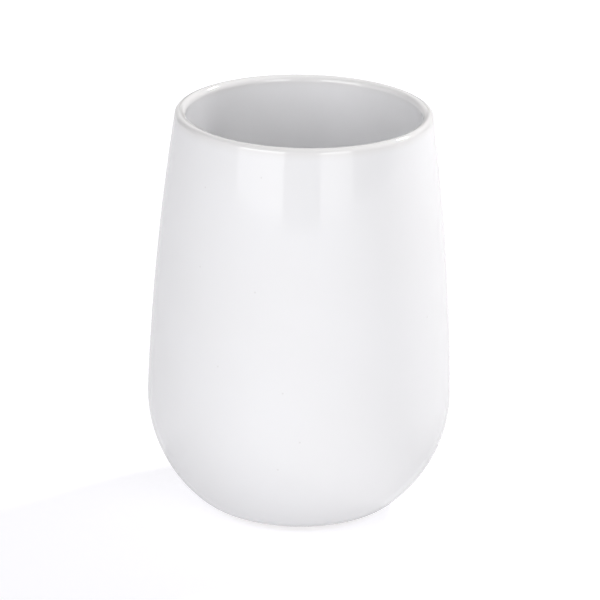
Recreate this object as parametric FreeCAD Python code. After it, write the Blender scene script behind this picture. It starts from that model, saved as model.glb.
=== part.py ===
import FreeCAD, Part
import math
import os

# A round bathroom tumbler. A slip-cast ceramic cup carries a fired glaze everywhere except on its
# foot ring, and a rubber disc stuck into the recess under the floor keeps it from sliding.
# Every piece is turned about Z. The origin is the middle of the surface that the tumbler stands on,
# +Z is up, and lengths are in millimetres.

Vector = FreeCAD.Vector

# Outside of the cup, measured over the glaze
overall_height = 111.0  # standing surface to the crest of the lip
belly_diameter = 82.0  # widest place
belly_height = 32.3  # widest place above the standing surface
heel_radius = 15.0  # rounding that turns under the belly towards the foot
wall_straightness = 0.36  # 0 bows the wall in one arc from belly to lip, 1 makes it straight

# Mouth and lip, measured over the glaze
mouth_diameter = 63.2  # clear opening
lip_thickness = 2.9  # the lip is a full round

# Inside of the cup
wall_thickness = 3.8  # at the belly, over both glazes
floor_thickness = 3.6  # fired clay in the middle of the floor
corner_radius = 14.0  # rounding between the wall and the floor, over the glaze

# Bare foot ring
foot_diameter = 42.0  # outer edge
foot_width = 3.0  # ring that is ground flat
foot_edge_radius = 0.2  # both edges of the flat
heel_rise = 0.2  # how far the bare heel has turned up from its lowest level where the foot starts
bare_band = 1.5  # bare clay between the foot and the lower edge of the outer glaze

# Glaze
glaze_thickness = 0.3

# Non-slip disc and its adhesive
disc_thickness = 1.6
disc_clearance = 0.8  # gap to the foot ring, all round
disc_edge_radius = 0.3  # lower edge
disc_proud = 0.5  # how far the disc lifts the foot off the standing surface
adhesive_thickness = 0.15
adhesive_margin = 0.5  # the film stops this far inside the edge of the disc

# Levels, from the standing surface up
foot_z = disc_proud
film_z = disc_thickness
base_glaze_z = film_z + adhesive_thickness
recess_z = base_glaze_z + glaze_thickness
floor_z = recess_z + floor_thickness + glaze_thickness

# Radii from the axis
belly_r = belly_diameter / 2
foot_r = foot_diameter / 2
recess_r = foot_r - foot_width
disc_r = recess_r - disc_clearance
film_r = disc_r - adhesive_margin


class Round:
    """A round stretch of a section, on a circle in the XZ plane, between two angles in radians.

    Angles run from the outward horizontal, positive upwards. Going into the clay, the radius of a
    stretch gets smaller where the surface is convex and larger where it is hollow.
    """

    def __init__(self, centre, radius, start, end, hollow=False):
        self.centre = centre
        self.radius = radius
        self.start = start
        self.end = end
        self.sign = 1 if hollow else -1

    def point(self, angle, depth=0.0):
        radius = self.radius + self.sign * depth
        return self.centre + Vector(radius * math.cos(angle), 0, radius * math.sin(angle))

    def edge(self, depth=0.0):
        middle = (self.start + self.end) / 2
        ends = [self.point(angle, depth) for angle in (self.start, middle, self.end)]
        return Part.Arc(*ends).toShape()


def at(r, z):
    return Vector(r, 0, z)


def line(start, end):
    return Part.LineSegment(start, end).toShape()


def path(*points):
    return [line(start, end) for start, end in zip(points, points[1:])]


def elevation(vector):
    """Angle of a vector in the XZ plane above the outward horizontal."""
    return math.atan2(vector.z, vector.x)


def turned(edges):
    """Solid of revolution about Z from a closed section, given edge after edge."""
    section = Part.Face(Part.Wire(edges))
    return section.revolve(Vector(0, 0, 0), Vector(0, 0, 1), 360)


def shortened(rounds, length):
    """The stretches of a section without the first part of their arc, of the given length."""
    first = rounds[0]
    arc = first.radius * (first.end - first.start)
    if length >= arc:
        return shortened(rounds[1:], length - arc)
    start = first.start + length / first.radius
    return [Round(first.centre, first.radius, start, first.end)] + rounds[1:]


def outside_rounds():
    """Heel, side, wall and lip of the glazed outside, from the foot up to the crest of the lip.

    Each stretch is tangent to the next. The heel rolls on the level of the foot, no rounder than
    the belly overhangs the foot, and the side is the one circle that touches the heel and stands
    upright at the belly.
    """
    heel_round = min(heel_radius, belly_r - foot_r)
    bare_heel = heel_round - glaze_thickness
    foot_angle = math.asin((bare_heel - heel_rise) / bare_heel)
    heel_centre = at(foot_r - bare_heel * math.cos(foot_angle), foot_z + heel_round)

    reach = belly_r - heel_centre.x
    climb = belly_height - heel_centre.z
    side_radius = (reach**2 + climb**2 - heel_round**2) / (2 * (reach - heel_round))
    side_centre = at(belly_r - side_radius, belly_height)
    heel_top = elevation(heel_centre - side_centre)

    lip_radius = lip_thickness / 2
    lip_centre = at(mouth_diameter / 2 + lip_radius, overall_height - lip_radius)
    chord = lip_centre - at(belly_r - lip_radius, belly_height)
    side_end = wall_straightness * (elevation(chord) - math.pi / 2)
    outward = at(math.cos(side_end), math.sin(side_end))
    wall_start = side_centre + outward * (side_radius - lip_radius)
    span = lip_centre - wall_start
    wall_bow = -span.dot(span) / (2 * span.dot(outward))
    wall_centre = wall_start - outward * wall_bow
    lip_lean = elevation((lip_centre - wall_centre) * (1 / wall_bow))

    return [
        Round(heel_centre, heel_round, -foot_angle, heel_top),
        Round(side_centre, side_radius, heel_top, side_end),
        Round(wall_centre, wall_bow + lip_radius, side_end, lip_lean),
        Round(lip_centre, lip_radius, lip_lean, math.pi / 2),
    ]


def inside_rounds(outside):
    """Lip, wall, side and corner of the glazed inside, from the crest of the lip to the floor.

    The lip's round carries on from the outside. The inner wall leaves it opposite the outer one
    and runs into a side that keeps the wall thickness to the outer side.
    """
    outer_side = outside[1]
    outer_lip = outside[3]
    lip_lean = outer_lip.start
    lip = Round(outer_lip.centre, outer_lip.radius, math.pi / 2, lip_lean + math.pi)

    side_radius = outer_side.radius - wall_thickness
    wall_top = lip.point(lip.end)
    offset = wall_top - outer_side.centre
    outward = at(math.cos(lip_lean), math.sin(lip_lean))
    wall_radius = (offset.dot(offset) - side_radius**2) / (2 * (offset.dot(outward) - side_radius))
    wall_centre = wall_top - outward * wall_radius
    wall_end = elevation((outer_side.centre - wall_centre) * (1 / (wall_radius - side_radius)))

    corner_z = floor_z + corner_radius
    corner_top = math.asin((corner_z - belly_height) / (side_radius - corner_radius))
    corner_x = outer_side.centre.x + (side_radius - corner_radius) * math.cos(corner_top)

    return [
        lip,
        Round(wall_centre, wall_radius, lip_lean, wall_end, hollow=True),
        Round(outer_side.centre, side_radius, wall_end, corner_top, hollow=True),
        Round(at(corner_x, corner_z), corner_radius, corner_top, -math.pi / 2, hollow=True),
    ]


def ceramic_body(outside, inside):
    """The fired clay: recess, foot ring, heel, wall, lip and floor in one turned section."""
    heel = outside[0]
    corner = inside[3]
    edge = foot_edge_radius
    inner_edge = Round(at(recess_r + edge, foot_z + edge), edge, math.pi, math.pi * 1.5)
    outer_edge = Round(at(foot_r - edge, foot_z + edge), edge, -math.pi / 2, 0)
    clay_floor = corner.point(corner.end, glaze_thickness)
    middle_of_floor = at(0, clay_floor.z)
    return turned(
        path(middle_of_floor, at(0, recess_z), at(recess_r, recess_z), inner_edge.point(math.pi))
        + [inner_edge.edge()]
        + path(inner_edge.point(inner_edge.end), outer_edge.point(outer_edge.start))
        + [outer_edge.edge()]
        + path(outer_edge.point(outer_edge.end), heel.point(heel.start, glaze_thickness))
        + [stretch.edge(glaze_thickness) for stretch in outside + inside]
        + path(clay_floor, middle_of_floor)
    )


def outer_glaze(outside):
    """The coat on the outside, from its lower edge on the heel to the crest of the lip."""
    coated = shortened(outside, bare_band)
    lower = coated[0]
    lip = coated[-1]
    return turned(
        [stretch.edge() for stretch in coated]
        + path(lip.point(lip.end), lip.point(lip.end, glaze_thickness))
        + [stretch.edge(glaze_thickness) for stretch in reversed(coated)]
        + path(lower.point(lower.start, glaze_thickness), lower.point(lower.start))
    )


def inner_glaze(inside):
    """The coat on the inside, from the crest of the lip over the wall and the floor."""
    lip = inside[0]
    corner = inside[3]
    top_of_floor = corner.point(corner.end)
    under_floor = corner.point(corner.end, glaze_thickness)
    return turned(
        [stretch.edge() for stretch in inside]
        + path(top_of_floor, at(0, top_of_floor.z), at(0, under_floor.z), under_floor)
        + [stretch.edge(glaze_thickness) for stretch in reversed(inside)]
        + path(lip.point(lip.start, glaze_thickness), lip.point(lip.start))
    )


def base_glaze():
    """The coat on the ceiling of the recess, inside the bare foot ring."""
    return Part.makeCylinder(recess_r, glaze_thickness, at(0, base_glaze_z))


def adhesive_film():
    """The film that holds the disc to the glazed recess."""
    return Part.makeCylinder(film_r, adhesive_thickness, at(0, film_z))


def non_slip_disc():
    """The rubber disc that the tumbler stands on, with its lower edge rounded by the cutting die."""
    edge = disc_edge_radius
    lower_edge = Round(at(disc_r - edge, edge), edge, -math.pi / 2, 0)
    return turned(
        path(at(0, film_z), at(0, 0), lower_edge.point(lower_edge.start))
        + [lower_edge.edge()]
        + path(lower_edge.point(lower_edge.end), at(disc_r, film_z), at(0, film_z))
    )


def main():
    outside = outside_rounds()
    inside = inside_rounds(outside)
    pieces = {
        "ceramic_body": ceramic_body(outside, inside),
        "outer_glaze": outer_glaze(outside),
        "inner_glaze": inner_glaze(inside),
        "base_glaze": base_glaze(),
        "adhesive_film": adhesive_film(),
        "non_slip_disc": non_slip_disc(),
    }
    os.makedirs("parts", exist_ok=True)
    for name, solid in pieces.items():
        solid.exportStep(os.path.join("parts", name + ".step"))


main()
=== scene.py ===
import math

import bpy
from bpy.props import FloatProperty, FloatVectorProperty, IntProperty, PointerProperty
from mathutils import Matrix, Vector


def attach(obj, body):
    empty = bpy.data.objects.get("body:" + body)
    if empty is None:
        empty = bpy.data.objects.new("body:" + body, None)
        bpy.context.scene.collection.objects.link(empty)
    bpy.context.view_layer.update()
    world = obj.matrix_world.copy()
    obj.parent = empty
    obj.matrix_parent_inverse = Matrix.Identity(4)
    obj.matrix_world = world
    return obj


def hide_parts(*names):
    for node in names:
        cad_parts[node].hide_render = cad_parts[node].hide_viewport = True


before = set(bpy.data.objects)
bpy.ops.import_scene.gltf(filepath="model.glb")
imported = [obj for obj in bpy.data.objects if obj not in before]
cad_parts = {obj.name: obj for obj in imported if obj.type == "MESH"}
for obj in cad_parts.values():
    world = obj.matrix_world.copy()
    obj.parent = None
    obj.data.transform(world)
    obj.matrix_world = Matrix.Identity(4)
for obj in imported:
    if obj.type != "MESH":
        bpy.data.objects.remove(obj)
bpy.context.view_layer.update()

bl_info = {
    "name": "Bathroom tumbler",
    "version": (1, 0, 0),
    "blender": (4, 5, 0),
    "location": "View3D > Sidebar > Tumbler",
    "description": "A glazed ceramic tumbler on a non-slip disc, with its studio stage",
    "category": "Object",
}

BODY = "root"  # the one body, which every piece rides on


def length(name, description, default):
    return FloatProperty(
        name=name, description=description, default=default, min=0.0, unit="LENGTH", precision=5
    )


def colour(name, description, default):
    return FloatVectorProperty(
        name=name, description=description, default=default, size=3, min=0.0, max=1.0, subtype="COLOR"
    )


def number(name, description, default):
    return FloatProperty(name=name, description=description, default=default, min=0.0, precision=4)


def angle(name, description, degrees):
    return FloatProperty(
        name=name, description=description, default=math.radians(degrees), subtype="ANGLE"
    )


class TumblerSizes(bpy.types.PropertyGroup):
    """Sizes of the tumbler's pieces, the same as in the CAD model"""

    overall_height: length("Overall height", "Standing surface to the crest of the lip", 0.111)
    belly_diameter: length("Belly diameter", "Outside, at the widest place", 0.082)
    belly_height: length("Belly height", "Widest place above the standing surface", 0.0323)
    heel_radius: length("Heel radius", "Rounding under the belly, towards the foot", 0.015)
    wall_straightness: number("Wall straightness", "0 bows the wall in one arc, 1 is straight", 0.36)
    mouth_diameter: length("Mouth diameter", "Clear opening", 0.0632)
    lip_thickness: length("Lip thickness", "Full-round lip, over the glaze", 0.0029)
    wall_thickness: length("Wall thickness", "At the belly, over both glazes", 0.0038)
    floor_thickness: length("Floor thickness", "Fired clay in the middle of the floor", 0.0036)
    corner_radius: length("Corner radius", "Rounding between wall and floor inside", 0.014)
    foot_diameter: length("Foot diameter", "Outer edge of the foot ring", 0.042)
    foot_width: length("Foot width", "Ring that is ground flat", 0.003)
    foot_edge_radius: length("Foot edge radius", "Both edges of the foot ring", 0.0002)
    heel_rise: length("Heel rise", "How far the bare heel has turned up at the foot", 0.0002)
    bare_band: length("Bare band", "Bare clay between the foot and the glaze", 0.0015)
    glaze_thickness: length("Glaze thickness", "Thickness of each coat", 0.0003)
    disc_thickness: length("Disc thickness", "Rubber sheet that the disc is cut from", 0.0016)
    disc_clearance: length("Disc clearance", "Gap between the disc and the foot ring", 0.0008)
    disc_edge_radius: length("Disc edge radius", "Lower edge of the disc", 0.0003)
    disc_proud: length("Disc proud", "How far the disc lifts the foot", 0.0005)
    adhesive_thickness: length("Adhesive thickness", "Film between disc and recess", 0.00015)
    adhesive_margin: length("Adhesive margin", "Film edge inside the disc edge", 0.0005)
    segments: IntProperty(
        name="Segments", description="Steps round each turned piece", default=192, min=24
    )


class TumblerFinish(bpy.types.PropertyGroup):
    """Colours of the tumbler's surfaces"""

    glaze: colour("Glaze", "White glaze where it lies thick", (0.86, 0.86, 0.87))
    # The thin glaze colour is partly the glaze's own thinning and partly painted shade on the lip.
    glaze_thin_and_lip_shade: colour("Thin glaze", "Glaze where it has drawn back from the lip", (0.79, 0.78, 0.77))
    speck: colour("Specks", "Tiny specks in the glaze", (0.5, 0.48, 0.46))
    clay: colour("Bare clay", "Unglazed fired clay of the foot", (0.68, 0.62, 0.53))
    adhesive: colour("Adhesive", "Film between the disc and the recess", (0.62, 0.58, 0.46))
    rubber: colour("Rubber", "Non-slip disc", (0.33, 0.33, 0.32))


class TumblerStage(bpy.types.PropertyGroup):
    """The studio around the tumbler"""

    floor: colour("Floor", "Paper that the tumbler stands on", (0.5, 0.5, 0.5))
    floor_tint: colour("Floor tint", "Tint of the light from the floor paper", (0.97, 0.962, 1.0))
    floor_glow: number("Floor glow", "Light that comes up through the floor paper", 0.31)
    floor_lift: number("Floor lift", "White added to the floor as the camera sees it", 0.38)
    mirrored_share: number("Mirrored share", "Share of that white that reflections see", 0.25)
    ambient: colour("Ambient", "Light from all round", (0.32, 0.319, 0.327))
    brightness: number("Brightness", "Level of the key light and of the light from each side", 1.0)
    camera_distance: length("Camera distance", "From the middle of the tumbler to the camera", 1.23)
    camera_tilt: angle("Camera tilt", "How far the camera looks down", 19.55)
    camera_roll: angle("Camera roll", "How far the picture leans", 1.1)


# Soft light from each side: azimuth to the right of the camera and elevation in degrees, how tightly
# it is gathered, level, tint
SIDES = (
    (-41.0, 10.0, 4.0, 1.72, (0.99, 0.99, 1.0)),
    (30.0, 15.0, 16.0, 3.25, (1.0, 1.0, 1.0)),
)

# Key light, a soft box behind and to the right of the mouth: angles in degrees, lengths in metres
KEY_BOX = {
    "azimuth": 127.0,
    "rise": 41.0,
    "distance": 1.0,
    "width": 0.14,
    "height": 0.14,
    "level": 106.0,
    "tint": (1.0, 0.985, 0.985),
}

# Panels of the light tent, which only reflections see: name, azimuth of the left and the right edge in
# degrees, distance from the axis, lower and upper edge in metres, level with 1 for white
PANELS = (
    ("gap_panel", -16.0, 14.5, 0.78, 0.012, 0.6, 0.03),
    ("right_panel", 14.5, 41.5, 0.77, 0.02, 0.13, 1.2),
    ("right_high_panel", 14.5, 41.5, 0.77, 0.13, 0.6, 4.0),
    ("right_side_panel", 41.5, 97.0, 0.77, 0.02, 0.6, 0.2),
    ("rear_right_panel", 97.0, 145.0, 0.77, 0.0, 0.35, 0.4),
    ("back_right_panel", 145.0, 170.0, 0.77, 0.0, 0.35, 0.8),
    ("back_panel", 170.0, 190.0, 0.77, 0.0, 0.35, 0.1),
    ("back_left_panel", 190.0, 215.0, 0.77, 0.0, 0.35, 0.9),
    ("rear_left_panel", 215.0, 260.0, 0.77, 0.0, 0.6, 0.25),
    ("left_side_panel", 260.0, 303.5, 0.77, 0.02, 0.6, 0.45),
    ("left_panel", 303.5, 344.0, 0.77, 0.02, 0.13, 1.5),
    ("left_high_panel", 303.5, 344.0, 0.77, 0.13, 0.6, 4.0),
)
PANEL_CLOUD = 0.94  # darkest part of a panel, as a share of its level

# Roof of the light tent: height and width in metres, level with 1 for white
ROOF_HEIGHT = 1.1
ROOF_WIDTH = 2.6
ROOF_LEVEL = 0.3

# Floor paper: radius, and depth below the standing surface, so that it doesn't coincide with the disc
FLOOR_RADIUS = 4.0
FLOOR_DEPTH = 0.0002

# Camera: height on the axis that it aims at in metres, how far right of and below the middle of the
# picture that place comes, width of the picture and focal length in pixels, sensor in millimetres
AIM_HEIGHT = 0.0567
AIM_RIGHT = 0.67
AIM_BELOW = 3.2
PICTURE_WIDTH = 600.0
FOCAL_LENGTH = 4563.0
SENSOR_WIDTH = 36.0

# Specks in the glaze of the outside: azimuth to the right of the camera in degrees, height in metres
SPECKS = (
    (-44.9, 0.0974),
    (-17.8, 0.103),
    (-43.8, 0.0762),
    (-18.0, 0.0725),
    (-32.2, 0.0507),
    (-6.0, 0.0458),
    (0.7, 0.0324),
    (-7.4, 0.0241),
    (58.0, 0.061),
    (83.0, 0.0905),
    (112.0, 0.0385),
    (139.0, 0.0772),
    (166.0, 0.0531),
    (-167.0, 0.0983),
    (-141.0, 0.0296),
    (-118.0, 0.0684),
    (-93.0, 0.0447),
)
SPECK_CORE = 0.0001  # radius that is evenly dark
SPECK_EDGE = 0.00035  # radius at which a speck has faded out
SPECK_STRENGTH = 0.26

# Glaze: how far below the crest it is drawn back, in lip thicknesses, how thin it is on the crest and in
# its clouds with 1 for thin, and the fillet of the base glaze at the foot ring, in coat thicknesses. The
# lip's thin glaze is partly real thinning and partly painted shade on the lip.
LIP_REACH = 1.2
LIP_THINNESS_AND_SHADE = 0.8
CLOUD_THINNESS = 0.12
BASE_FILLET = 0.8

# Bare clay: where the stain from the glaze starts outside the foot, its strength, and the turning marks
# in radians of their wave for each metre of radius
STAIN_START = 0.0004
STAIN_STRENGTH = 0.45
TURNING_MARKS = 18000.0

# Meshes: edges sharper than the crease stay sharp, and points and vertices this close are one
CREASE = math.radians(40)
SAME_POINT = 1e-7
SAME_VERTEX = 2e-6
ROUNDING = 1e-12


class Round:
    """A round stretch of a section in the XZ plane, between two angles above the outward horizontal.

    Going into the clay, its radius gets smaller where the surface is convex and larger where it is
    hollow.
    """

    def __init__(self, centre, radius, start, end, hollow=False):
        self.centre = centre
        self.radius = radius
        self.start = start
        self.end = end
        self.hollow = hollow

    def at_depth(self, depth):
        radius = self.radius + (depth if self.hollow else -depth)
        return Round(self.centre, radius, self.start, self.end, self.hollow)

    def backwards(self):
        return Round(self.centre, self.radius, self.end, self.start, self.hollow)

    def point(self, turn):
        return self.centre + self.radius * Vector((math.cos(turn), 0, math.sin(turn)))

    def arc(self):
        return abs(self.radius * (self.end - self.start))


def at(r, z):
    return Vector((r, 0, z))


def elevation(vector):
    return math.atan2(vector.z, vector.x)


def outside_rounds(sizes):
    """Heel, side, wall and lip of the glazed outside, each tangent to the next, from the foot up."""
    belly_r = sizes.belly_diameter / 2
    foot_r = sizes.foot_diameter / 2
    heel_round = min(sizes.heel_radius, belly_r - foot_r)
    bare_heel = heel_round - sizes.glaze_thickness
    foot_angle = math.asin((bare_heel - sizes.heel_rise) / bare_heel)
    heel_centre = at(foot_r - bare_heel * math.cos(foot_angle), sizes.disc_proud + heel_round)

    reach = belly_r - heel_centre.x
    climb = sizes.belly_height - heel_centre.z
    side_radius = (reach**2 + climb**2 - heel_round**2) / (2 * (reach - heel_round))
    side_centre = at(belly_r - side_radius, sizes.belly_height)
    heel_top = elevation(heel_centre - side_centre)

    lip_radius = sizes.lip_thickness / 2
    lip_centre = at(sizes.mouth_diameter / 2 + lip_radius, sizes.overall_height - lip_radius)
    chord = lip_centre - at(belly_r - lip_radius, sizes.belly_height)
    side_end = sizes.wall_straightness * (elevation(chord) - math.pi / 2)
    outward = at(math.cos(side_end), math.sin(side_end))
    wall_start = side_centre + outward * (side_radius - lip_radius)
    span = lip_centre - wall_start
    wall_bow = -span.dot(span) / (2 * span.dot(outward))
    wall_centre = wall_start - outward * wall_bow
    lip_lean = elevation((lip_centre - wall_centre) / wall_bow)
    return [
        Round(heel_centre, heel_round, -foot_angle, heel_top),
        Round(side_centre, side_radius, heel_top, side_end),
        Round(wall_centre, wall_bow + lip_radius, side_end, lip_lean),
        Round(lip_centre, lip_radius, lip_lean, math.pi / 2),
    ]


def inside_rounds(sizes, outside):
    """Lip, wall, side and corner of the glazed inside, from the crest of the lip to the floor."""
    outer_side = outside[1]
    outer_lip = outside[3]
    lip_lean = outer_lip.start
    lip = Round(outer_lip.centre, outer_lip.radius, math.pi / 2, lip_lean + math.pi)

    side_radius = outer_side.radius - sizes.wall_thickness
    wall_top = lip.point(lip.end)
    offset = wall_top - outer_side.centre
    outward = at(math.cos(lip_lean), math.sin(lip_lean))
    wall_radius = (offset.dot(offset) - side_radius**2) / (2 * (offset.dot(outward) - side_radius))
    wall_centre = wall_top - outward * wall_radius
    wall_end = elevation((outer_side.centre - wall_centre) / (wall_radius - side_radius))

    corner_z = inner_floor(sizes) + sizes.corner_radius
    corner_top = math.asin((corner_z - sizes.belly_height) / (side_radius - sizes.corner_radius))
    corner_x = outer_side.centre.x + (side_radius - sizes.corner_radius) * math.cos(corner_top)
    return [
        lip,
        Round(wall_centre, wall_radius, lip_lean, wall_end, hollow=True),
        Round(outer_side.centre, side_radius, wall_end, corner_top, hollow=True),
        Round(at(corner_x, corner_z), sizes.corner_radius, corner_top, -math.pi / 2, hollow=True),
    ]


def film_level(sizes):
    return sizes.disc_thickness


def base_glaze_level(sizes):
    return film_level(sizes) + sizes.adhesive_thickness


def recess_level(sizes):
    return base_glaze_level(sizes) + sizes.glaze_thickness


def inner_floor(sizes):
    return recess_level(sizes) + sizes.floor_thickness + sizes.glaze_thickness


def recess_radius(sizes):
    return sizes.foot_diameter / 2 - sizes.foot_width


def disc_radius(sizes):
    return recess_radius(sizes) - sizes.disc_clearance


def on_outside(sizes, azimuth, height):
    """A place on the glazed outside at an azimuth to the right of the camera."""
    for stretch in outside_rounds(sizes):
        if stretch.point(stretch.start).z <= height <= stretch.point(stretch.end).z:
            out = stretch.centre.x + math.sqrt(stretch.radius**2 - (height - stretch.centre.z) ** 2)
            return Vector((out * math.sin(azimuth), -out * math.cos(azimuth), height))
    raise ValueError("no outside wall at height %g" % height)


def shortened(rounds, length_off):
    """The stretches of a section without the first part of their arc."""
    first = rounds[0]
    if length_off >= first.arc():
        return shortened(rounds[1:], length_off - first.arc())
    start = first.start + length_off / first.radius
    return [Round(first.centre, first.radius, start, first.end, first.hollow)] + rounds[1:]


def drawn(rounds, finest_turn, longest=0.001, growth=0.5):
    """Points along tangent stretches.

    On each stretch a step turns by at most finest_turn, no step is longer than longest, and steps
    grow gently away from a tight stretch, so that shading stays even where radii change.
    """
    starts = []
    total = 0.0
    for stretch in rounds:
        starts.append(total)
        total += stretch.arc()

    def step(place):
        best = longest
        for stretch, start in zip(rounds, starts):
            away = max(0.0, start - place, place - start - stretch.arc())
            best = min(best, abs(stretch.radius) * finest_turn + growth * away)
        return best

    places = [0.0]
    while places[-1] < total:
        places.append(places[-1] + step(places[-1]))
    stretched = [place * total / places[-1] for place in places]

    points = []
    for place in stretched:
        index = max(i for i, start in enumerate(starts) if start <= place + ROUNDING)
        stretch = rounds[index]
        share = min(1.0, (place - starts[index]) / stretch.arc())
        points.append(stretch.point(stretch.start + share * (stretch.end - stretch.start)))
    return points


def straight(start, end, steps):
    return [start.lerp(end, i / steps) for i in range(steps + 1)]


def joined(*runs):
    """One run of points from several, without the points that two runs share."""
    points = []
    for run in runs:
        for point in run:
            if not points or (point - points[-1]).length > SAME_POINT:
                points.append(point)
    return points


def turn(name, section, segments):
    """A turned piece: one vertex is drawn out along the section, and the line is spun about Z."""
    bpy.ops.object.select_all(action="DESELECT")
    bpy.ops.mesh.primitive_plane_add(size=0.001)
    piece = bpy.context.object
    piece.name = name
    piece.data.name = name
    bpy.ops.object.mode_set(mode="EDIT")
    bpy.ops.mesh.select_mode(type="VERT")
    bpy.ops.mesh.select_all(action="SELECT")
    bpy.ops.mesh.merge(type="CENTER")
    bpy.ops.transform.translate(value=section[0])
    for here, there in zip(section, section[1:]):
        bpy.ops.mesh.extrude_region_move(TRANSFORM_OT_translate={"value": there - here})
    bpy.ops.mesh.select_all(action="SELECT")
    bpy.ops.mesh.spin(steps=segments, angle=2 * math.pi, center=(0, 0, 0), axis=(0, 0, 1))
    bpy.ops.mesh.select_all(action="SELECT")
    bpy.ops.mesh.remove_doubles(threshold=SAME_VERTEX)
    bpy.ops.mesh.normals_make_consistent(inside=False)
    bpy.ops.object.mode_set(mode="OBJECT")
    bpy.ops.object.shade_smooth_by_angle(angle=CREASE)
    return piece


class Finish:
    """The node tree of a material or of the world, with short ways to add and link nodes."""

    def __init__(self, owner, output="ShaderNodeOutputMaterial"):
        self.owner = owner
        owner.use_nodes = True
        self.tree = owner.node_tree
        self.tree.nodes.clear()
        self.output = self.add(output)

    def link(self, source, target):
        self.tree.links.new(source, target)

    def fill(self, socket, value):
        """Link another node's output to a socket, or set the socket's own value."""
        if isinstance(value, bpy.types.NodeSocket):
            self.link(value, socket)
        else:
            socket.default_value = value

    def add(self, kind, settings=None, **values):
        node = self.tree.nodes.new(kind)
        for key, value in (settings or {}).items():
            setattr(node, key, value)
        for key, value in values.items():
            self.fill(node.inputs[key.replace("_", " ")], value)
        return node

    def object_coordinates(self):
        return self.add("ShaderNodeTexCoord").outputs["Object"]

    def math(self, operation, first, second=0.0, third=0.0, clamp=False):
        node = self.add("ShaderNodeMath", {"operation": operation, "use_clamp": clamp})
        for socket, value in zip(node.inputs, (first, second, third)):
            self.fill(socket, value)
        return node.outputs[0]

    def vector(self, operation, *values):
        node = self.add("ShaderNodeVectorMath", {"operation": operation})
        for socket, value in zip(node.inputs, values):
            self.fill(socket, value)
        return node.outputs

    def noise(self, where, scale, detail, roughness=0.5):
        node = self.add(
            "ShaderNodeTexNoise", Vector=where, Scale=scale, Detail=detail, Roughness=roughness
        )
        return node.outputs["Fac"]

    def ramp(self, value, low, high, to_low=0.0, to_high=1.0):
        node = self.add(
            "ShaderNodeMapRange",
            {"interpolation_type": "SMOOTHSTEP"},
            Value=value,
            From_Min=low,
            From_Max=high,
            To_Min=to_low,
            To_Max=to_high,
        )
        return node.outputs["Result"]

    def clouds(self, where, scale, detail, to_low=0.0, to_high=1.0):
        """Noise with its middle range spread from one value to another."""
        return self.ramp(self.noise(where, scale, detail), 0.3, 0.7, to_low, to_high)

    def mix(self, factor, first, second):
        node = self.add("ShaderNodeMix", {"data_type": "RGBA"})
        sockets = (node.inputs[0], node.inputs[6], node.inputs[7])
        for socket, value in zip(sockets, (factor, first, second)):
            plain = isinstance(value, (bpy.types.NodeSocket, float))
            self.fill(socket, value if plain else (*value, 1.0))
        return node.outputs[2]

    def bump(self, height, distance, normal=None):
        node = self.add("ShaderNodeBump", Height=height, Distance=distance)
        if normal is not None:
            self.link(normal, node.inputs["Normal"])
        return node.outputs["Normal"]

    def surface(self, shader):
        self.link(shader.outputs[0], self.output.inputs["Surface"])
        return self.owner


def darker(tone, share):
    return tuple(share * channel for channel in tone)


def white_glaze(finish, sizes):
    """Glossy white glaze: soft tone, slow waves, fine orange peel, a few specks, thinner at the lip,
    where it is also darkened as painted shade.
    """
    m = Finish(bpy.data.materials.new("white_glaze"))
    where = m.object_coordinates()
    height = m.add("ShaderNodeSeparateXYZ", Vector=where).outputs["Z"]

    # The lip ring is darker: partly thinner glaze, partly painted shade on the lip.
    lip_start = sizes.overall_height - LIP_REACH * sizes.lip_thickness
    lip_thinning_and_shade = m.ramp(height, lip_start, sizes.overall_height)
    thin_and_shaded_lip = m.math("MULTIPLY", lip_thinning_and_shade, LIP_THINNESS_AND_SHADE)
    cloud = m.ramp(m.noise(where, scale=28.0, detail=2.0), 0.35, 0.65)
    thin = m.math("MULTIPLY_ADD", cloud, CLOUD_THINNESS, thin_and_shaded_lip, clamp=True)
    tone = m.mix(thin, finish.glaze, finish.glaze_thin_and_lip_shade)

    nearest = 1.0
    for azimuth, place in SPECKS:
        spot = on_outside(sizes, math.radians(azimuth), place)
        nearest = m.math("MINIMUM", m.vector("DISTANCE", where, spot)["Value"], nearest)
    fading = m.ramp(nearest, SPECK_CORE, SPECK_EDGE, to_low=1.0, to_high=0.0)
    tone = m.mix(m.math("MULTIPLY", fading, SPECK_STRENGTH), tone, finish.speck)

    waves = m.noise(where, scale=55.0, detail=1.0)
    peel = m.noise(where, scale=700.0, detail=2.0)
    normal = m.bump(waves, distance=0.00002)
    normal = m.bump(peel, distance=0.000001, normal=normal)
    gloss = m.clouds(where, scale=240.0, detail=3.0, to_low=0.05, to_high=0.085)
    return m.surface(
        m.add("ShaderNodeBsdfPrincipled", Base_Color=tone, Normal=normal, Roughness=gloss, IOR=1.6)
    )


def bare_clay(finish, sizes):
    """Unglazed fired clay: fine grain, pits, turning marks on the ground foot, a stain at the glaze."""
    m = Finish(bpy.data.materials.new("bare_clay"))
    where = m.object_coordinates()
    cloud = m.clouds(where, scale=160.0, detail=3.0)
    tone = m.mix(cloud, finish.clay, darker(finish.clay, 0.8))

    flat = m.vector("MULTIPLY", where, (1.0, 1.0, 0.0))["Vector"]
    out = m.vector("LENGTH", flat)["Value"]
    foot_r = sizes.foot_diameter / 2
    stain = m.ramp(out, foot_r + STAIN_START, foot_r + sizes.bare_band)
    tone = m.mix(m.math("MULTIPLY", stain, STAIN_STRENGTH), tone, darker(finish.clay, 0.62))

    grain = m.noise(where, scale=2600.0, detail=4.0, roughness=0.65)
    marks = m.math("SINE", m.math("MULTIPLY", out, TURNING_MARKS))
    normal = m.bump(grain, distance=0.00006)
    normal = m.bump(marks, distance=0.000004, normal=normal)
    return m.surface(
        m.add("ShaderNodeBsdfPrincipled", Base_Color=tone, Normal=normal, Roughness=0.85, IOR=1.45)
    )


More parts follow.
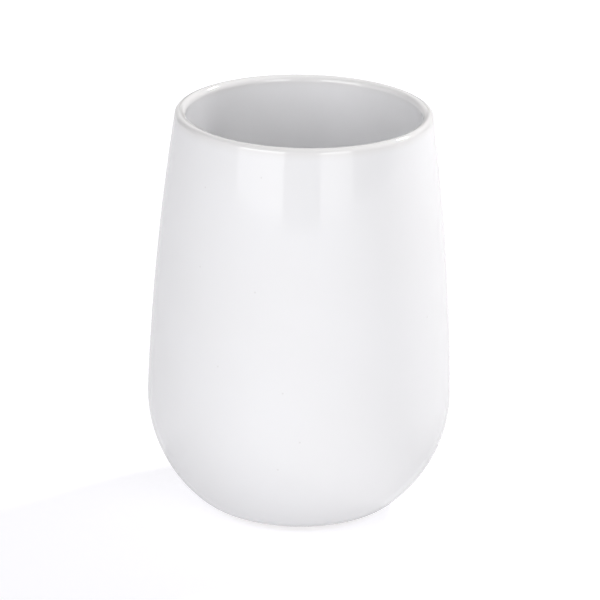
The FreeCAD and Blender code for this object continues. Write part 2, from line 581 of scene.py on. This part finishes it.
def adhesive(finish):
    """Pale adhesive film, slightly cloudy."""
    m = Finish(bpy.data.materials.new("adhesive"))
    where = m.object_coordinates()
    cloud = m.clouds(where, scale=300.0, detail=3.0)
    tone = m.mix(cloud, finish.adhesive, darker(finish.adhesive, 0.85))
    rough = m.clouds(where, scale=900.0, detail=2.0, to_low=0.35, to_high=0.55)
    return m.surface(m.add("ShaderNodeBsdfPrincipled", Base_Color=tone, Roughness=rough, IOR=1.47))


def rubber(finish):
    """Matt rubber sheet with a fine pressed grain."""
    m = Finish(bpy.data.materials.new("rubber"))
    where = m.object_coordinates()
    cloud = m.clouds(where, scale=130.0, detail=3.0)
    tone = m.mix(cloud, finish.rubber, darker(finish.rubber, 0.82))
    pebble = m.add("ShaderNodeTexVoronoi", {"feature": "SMOOTH_F1"}, Vector=where, Scale=1500.0)
    normal = m.bump(pebble.outputs["Distance"], distance=0.00012)
    rough = m.clouds(where, scale=1200.0, detail=2.0, to_low=0.6, to_high=0.8)
    return m.surface(
        m.add("ShaderNodeBsdfPrincipled", Base_Color=tone, Normal=normal, Roughness=rough, IOR=1.5)
    )


def settle(piece, material, slot, *nodes):
    """The finished piece takes its material and stands for its CAD nodes on the one body."""
    piece.data.materials.clear()
    piece.data.materials.append(material)
    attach(piece, BODY)
    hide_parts(*nodes)


class TUMBLER_OT_clay_body(bpy.types.Operator):
    """Turn the fired clay body with its foot ring and recess"""

    bl_idname = "tumbler.clay_body"
    bl_label = "Clay body"

    def execute(self, context):
        sizes = context.scene.tumbler_sizes
        outside = outside_rounds(sizes)
        inside = inside_rounds(sizes, outside)
        foot_r = sizes.foot_diameter / 2
        foot_z = sizes.disc_proud
        edge = sizes.foot_edge_radius
        inner_edge = Round(at(recess_radius(sizes) + edge, foot_z + edge), edge, math.pi, 1.5 * math.pi)
        outer_edge = Round(at(foot_r - edge, foot_z + edge), edge, -math.pi / 2, 0)
        clay = [stretch.at_depth(sizes.glaze_thickness) for stretch in outside + inside]
        ceiling = at(recess_radius(sizes), recess_level(sizes))
        floor = clay[-1].point(clay[-1].end)
        section = joined(
            straight(at(0, ceiling.z), ceiling, steps=6),
            straight(ceiling, inner_edge.point(inner_edge.start), steps=3),
            drawn([inner_edge], math.radians(12)),
            straight(inner_edge.point(inner_edge.end), outer_edge.point(outer_edge.start), steps=6),
            drawn([outer_edge], math.radians(12)),
            straight(outer_edge.point(outer_edge.end), clay[0].point(clay[0].start), steps=2),
            drawn(clay, math.radians(5), longest=0.004),
            straight(floor, at(0, floor.z), steps=6),
        )
        piece = turn("clay_body", section, sizes.segments)
        settle(piece, bare_clay(context.scene.tumbler_finish, sizes), "bare_clay", "ceramic_body")
        return {"FINISHED"}


class TUMBLER_OT_glaze(bpy.types.Operator):
    """Turn the glaze that runs over the outside, the lip and the inside"""

    bl_idname = "tumbler.glaze"
    bl_label = "Glaze"

    def execute(self, context):
        sizes = context.scene.tumbler_sizes
        thick = sizes.glaze_thickness
        outside = outside_rounds(sizes)
        coat = shortened(outside, sizes.bare_band) + inside_rounds(sizes, outside)
        back = [stretch.at_depth(thick).backwards() for stretch in reversed(coat)]
        lower = coat[0]
        bead_centre = lower.at_depth(thick / 2).point(lower.start)
        bead = Round(bead_centre, thick / 2, lower.start - math.pi, lower.start)
        floor = coat[-1].point(coat[-1].end)
        under = back[0].point(back[0].start)
        section = joined(
            drawn([bead], math.radians(15)),
            drawn(coat, math.radians(2.5), longest=0.0016, growth=0.35),
            straight(floor, at(0, floor.z), steps=10),
            straight(at(0, under.z), under, steps=4),
            drawn(back, math.radians(10), longest=0.005),
        )
        piece = turn("glaze", section, sizes.segments)
        material = white_glaze(context.scene.tumbler_finish, sizes)
        settle(piece, material, "white_glaze", "outer_glaze", "inner_glaze")
        return {"FINISHED"}


class TUMBLER_OT_base_glaze(bpy.types.Operator):
    """Turn the glaze on the ceiling of the recess, with a small fillet at the foot ring"""

    bl_idname = "tumbler.base_glaze"
    bl_label = "Base glaze"

    def execute(self, context):
        sizes = context.scene.tumbler_sizes
        outer = recess_radius(sizes)
        low = base_glaze_level(sizes)
        top = recess_level(sizes)
        fillet = BASE_FILLET * sizes.glaze_thickness
        hollow = Round(at(outer - fillet, low - fillet), fillet, math.pi / 2, 0, hollow=True)
        section = joined(
            straight(at(0, low), at(outer - fillet, low), steps=8),
            drawn([hollow], math.radians(10)),
            straight(at(outer, low - fillet), at(outer, top), steps=2),
            straight(at(outer, top), at(0, top), steps=4),
        )
        piece = turn("base_glaze_coat", section, sizes.segments)
        settle(piece, bpy.data.materials["white_glaze"], "white_glaze", "base_glaze")
        return {"FINISHED"}


class TUMBLER_OT_adhesive(bpy.types.Operator):
    """Turn the adhesive film with its rounded, slightly squeezed edge"""

    bl_idname = "tumbler.adhesive"
    bl_label = "Adhesive film"

    def execute(self, context):
        sizes = context.scene.tumbler_sizes
        outer = disc_radius(sizes) - sizes.adhesive_margin
        low = film_level(sizes)
        half = sizes.adhesive_thickness / 2
        edge = Round(at(outer - half, low + half), half, -math.pi / 2, math.pi / 2)
        section = joined(
            straight(at(0, low), at(outer - half, low), steps=4),
            drawn([edge], math.radians(15)),
            straight(at(outer - half, low + 2 * half), at(0, low + 2 * half), steps=4),
        )
        piece = turn("adhesive", section, sizes.segments)
        settle(piece, adhesive(context.scene.tumbler_finish), "adhesive", "adhesive_film")
        return {"FINISHED"}


class TUMBLER_OT_disc(bpy.types.Operator):
    """Turn the rubber disc with its die-cut edge"""

    bl_idname = "tumbler.disc"
    bl_label = "Non-slip disc"

    def execute(self, context):
        sizes = context.scene.tumbler_sizes
        outer = disc_radius(sizes)
        top = film_level(sizes)
        low_edge = sizes.disc_edge_radius
        top_edge = low_edge / 3
        lower = Round(at(outer - low_edge, low_edge), low_edge, -math.pi / 2, 0)
        upper = Round(at(outer - top_edge, top - top_edge), top_edge, 0, math.pi / 2)
        section = joined(
            straight(at(0, 0), at(outer - low_edge, 0), steps=8),
            drawn([lower], math.radians(10)),
            straight(at(outer, low_edge), at(outer, top - top_edge), steps=3),
            drawn([upper], math.radians(15)),
            straight(at(outer - top_edge, top), at(0, top), steps=4),
        )
        piece = turn("rubber_disc", section, sizes.segments)
        settle(piece, rubber(context.scene.tumbler_finish), "rubber", "non_slip_disc")
        return {"FINISHED"}


def seen_white(m, mirrored_share=1.0):
    """1 for rays from the camera, a share for mirror-like and see-through ones, 0 for the others."""
    rays = m.add("ShaderNodeLightPath").outputs
    mirrored = m.math("ADD", rays["Is Glossy Ray"], rays["Is Transmission Ray"])
    return m.math("MULTIPLY_ADD", mirrored, mirrored_share, rays["Is Camera Ray"], clamp=True)


def floor_paper(stage):
    """White floor paper, lit through a little, that keeps shadows."""
    m = Finish(bpy.data.materials.new("floor_paper"))
    grain = m.clouds(m.object_coordinates(), scale=400.0, detail=3.0)
    diffuse = m.add("ShaderNodeBsdfDiffuse", Color=m.mix(grain, stage.floor, darker(stage.floor, 0.985)))
    seen = seen_white(m, stage.mirrored_share)
    level = m.math("MULTIPLY_ADD", seen, stage.floor_lift, stage.floor_glow)
    glow = m.add("ShaderNodeEmission", Color=(*stage.floor_tint, 1.0), Strength=level)
    both = m.add("ShaderNodeAddShader")
    m.link(diffuse.outputs[0], both.inputs[0])
    m.link(glow.outputs[0], both.inputs[1])
    return m.surface(both)


def add_floor(stage):
    bpy.ops.object.select_all(action="DESELECT")
    bpy.ops.mesh.primitive_circle_add(
        vertices=96, radius=FLOOR_RADIUS, fill_type="NGON", location=(0, 0, -FLOOR_DEPTH)
    )
    floor = bpy.context.object
    floor.name = "floor"
    bpy.ops.object.transform_apply(location=True, rotation=True, scale=True)
    floor.data.materials.append(floor_paper(stage))


def heading(azimuth, rise=0.0):
    """A direction from the tumbler, with the azimuth to the right of the camera."""
    flat = math.cos(rise)
    return Vector((flat * math.sin(azimuth), -flat * math.cos(azimuth), math.sin(rise)))


def panel_face(name, level):
    """Panel of the tent, slightly cloudy."""
    m = Finish(bpy.data.materials.new(name))
    where = m.object_coordinates()
    cloud = m.clouds(where, scale=12.0, detail=2.0, to_low=PANEL_CLOUD * level, to_high=level)
    return m.surface(m.add("ShaderNodeEmission", Strength=cloud))


def only_mirrored(thing):
    thing.visible_camera = False
    thing.visible_diffuse = False
    thing.visible_shadow = False


def add_panel(name, left, right, distance, low, high, level):
    """An upright panel of the tent between two azimuths."""
    half = (right - left) / 2
    azimuth = (left + right) / 2
    place = distance * heading(azimuth) + Vector((0, 0, (low + high) / 2))
    bpy.ops.object.select_all(action="DESELECT")
    bpy.ops.mesh.primitive_plane_add(size=1.0, location=place)
    panel = bpy.context.object
    panel.name = name
    panel.scale = (2 * distance * math.tan(half), high - low, 1.0)
    panel.rotation_euler = (math.pi / 2, 0.0, azimuth)
    bpy.ops.object.transform_apply(location=True, rotation=True, scale=True)
    panel.data.materials.append(panel_face(name, level))
    only_mirrored(panel)


def add_tent_roof():
    bpy.ops.object.select_all(action="DESELECT")
    bpy.ops.mesh.primitive_plane_add(size=ROOF_WIDTH, location=(0, 0, ROOF_HEIGHT))
    roof = bpy.context.object
    roof.name = "tent_roof"
    bpy.ops.object.transform_apply(location=True, rotation=True, scale=True)
    roof.data.materials.append(panel_face("tent_roof", ROOF_LEVEL))
    only_mirrored(roof)


def add_key_box(mouth, brightness, azimuth, rise, distance, width, height, level, tint):
    """The soft box that lights the inside of the cup over its rim."""
    towards = heading(math.radians(azimuth), math.radians(rise))
    bpy.ops.object.select_all(action="DESELECT")
    bpy.ops.object.light_add(type="AREA", location=mouth + distance * towards)
    box = bpy.context.object
    box.name = "key_box"
    box.data.shape = "RECTANGLE"
    box.data.size = width
    box.data.size_y = height
    box.data.energy = brightness * level * math.pi * width * height
    box.data.color = tint
    box.rotation_euler = (-towards).to_track_quat("-Z", "Y").to_euler()
    box.visible_camera = False


def add_world(stage):
    """White where it is seen or mirrored, and soft light that differs from side to side."""
    world = bpy.data.worlds.new("studio")
    bpy.context.scene.world = world
    m = Finish(world, "ShaderNodeOutputWorld")
    towards = m.add("ShaderNodeTexCoord").outputs["Generated"]
    red, green, blue = stage.ambient
    light = m.add("ShaderNodeCombineXYZ", X=red, Y=green, Z=blue).outputs[0]
    for azimuth, rise, gathered, level, tint in SIDES:
        side = heading(math.radians(azimuth), math.radians(rise))
        facing = m.math("MAXIMUM", m.vector("DOT_PRODUCT", towards, side)["Value"], 0.0)
        lobe = m.math("POWER", facing, gathered)
        full = [stage.brightness * level * channel for channel in tint]
        light = m.vector("MULTIPLY_ADD", lobe, full, light)["Vector"]
    around = m.add("ShaderNodeBackground", Color=light)
    white = m.add("ShaderNodeBackground", Color=(1.0, 1.0, 1.0, 1.0))
    mixed = m.add("ShaderNodeMixShader", Fac=seen_white(m))
    m.link(around.outputs[0], mixed.inputs[1])
    m.link(white.outputs[0], mixed.inputs[2])
    m.surface(mixed)


def add_camera(stage):
    """Long lens, looking down on the tumbler from in front."""
    tilt = stage.camera_tilt
    roll = stage.camera_roll
    aim = Vector((0, 0, AIM_HEIGHT))
    focal = FOCAL_LENGTH / PICTURE_WIDTH
    off_right = AIM_RIGHT / PICTURE_WIDTH / focal
    off_down = AIM_BELOW / PICTURE_WIDTH / focal
    right = Vector((1, 0, 0))
    forward = Vector((0, math.cos(tilt), -math.sin(tilt)))
    up = right.cross(forward)
    place = aim - stage.camera_distance * (forward + right * off_right - up * off_down)
    turned_right = math.cos(roll) * right + math.sin(roll) * up
    turned_up = math.cos(roll) * up - math.sin(roll) * right
    bpy.ops.object.select_all(action="DESELECT")
    bpy.ops.object.camera_add(location=place)
    camera = bpy.context.object
    camera.name = "camera"
    camera.rotation_euler = Matrix((turned_right, turned_up, -forward)).transposed().to_euler()
    camera.data.sensor_width = SENSOR_WIDTH
    camera.data.lens = SENSOR_WIDTH * focal
    camera.data.clip_start = 0.01
    camera.data.clip_end = 50.0
    bpy.context.scene.camera = camera


class TUMBLER_OT_stage(bpy.types.Operator):
    """Set the floor, the surroundings, the key light, the light tent and the camera"""

    bl_idname = "tumbler.stage"
    bl_label = "Stage"

    def execute(self, context):
        stage = context.scene.tumbler_stage
        context.scene.view_settings.view_transform = "Standard"
        add_floor(stage)
        add_world(stage)
        mouth = Vector((0, 0, context.scene.tumbler_sizes.overall_height))
        add_key_box(mouth, stage.brightness, **KEY_BOX)
        for name, left, right, distance, low, high, level in PANELS:
            add_panel(name, math.radians(left), math.radians(right), distance, low, high, level)
        add_tent_roof()
        add_camera(stage)
        return {"FINISHED"}


class TUMBLER_PT_panel(bpy.types.Panel):
    """Sizes and colours of the tumbler, and the operators that make it"""

    bl_idname = "TUMBLER_PT_panel"
    bl_label = "Tumbler"
    bl_space_type = "VIEW_3D"
    bl_region_type = "UI"
    bl_category = "Tumbler"

    def draw(self, context):
        scene = context.scene
        for group in (scene.tumbler_sizes, scene.tumbler_finish, scene.tumbler_stage):
            box = self.layout.box()
            for name in group.bl_rna.properties.keys():
                if name not in ("rna_type", "name"):
                    box.prop(group, name)
        for operator in OPERATORS:
            self.layout.operator(operator.bl_idname)


GROUPS = {
    "tumbler_sizes": TumblerSizes,
    "tumbler_finish": TumblerFinish,
    "tumbler_stage": TumblerStage,
}
OPERATORS = [
    TUMBLER_OT_clay_body,
    TUMBLER_OT_glaze,
    TUMBLER_OT_base_glaze,
    TUMBLER_OT_adhesive,
    TUMBLER_OT_disc,
    TUMBLER_OT_stage,
]


def register():
    for name, group in GROUPS.items():
        bpy.utils.register_class(group)
        setattr(bpy.types.Scene, name, PointerProperty(type=group))
    for operator in OPERATORS:
        bpy.utils.register_class(operator)
    bpy.utils.register_class(TUMBLER_PT_panel)


def unregister():
    bpy.utils.unregister_class(TUMBLER_PT_panel)
    for operator in reversed(OPERATORS):
        bpy.utils.unregister_class(operator)
    for name, group in GROUPS.items():
        delattr(bpy.types.Scene, name)
        bpy.utils.unregister_class(group)


def main():
    register()
    bpy.ops.tumbler.clay_body()
    bpy.ops.tumbler.glaze()
    bpy.ops.tumbler.base_glaze()
    bpy.ops.tumbler.adhesive()
    bpy.ops.tumbler.disc()
    bpy.ops.tumbler.stage()


if __name__ == "__main__":
    main()
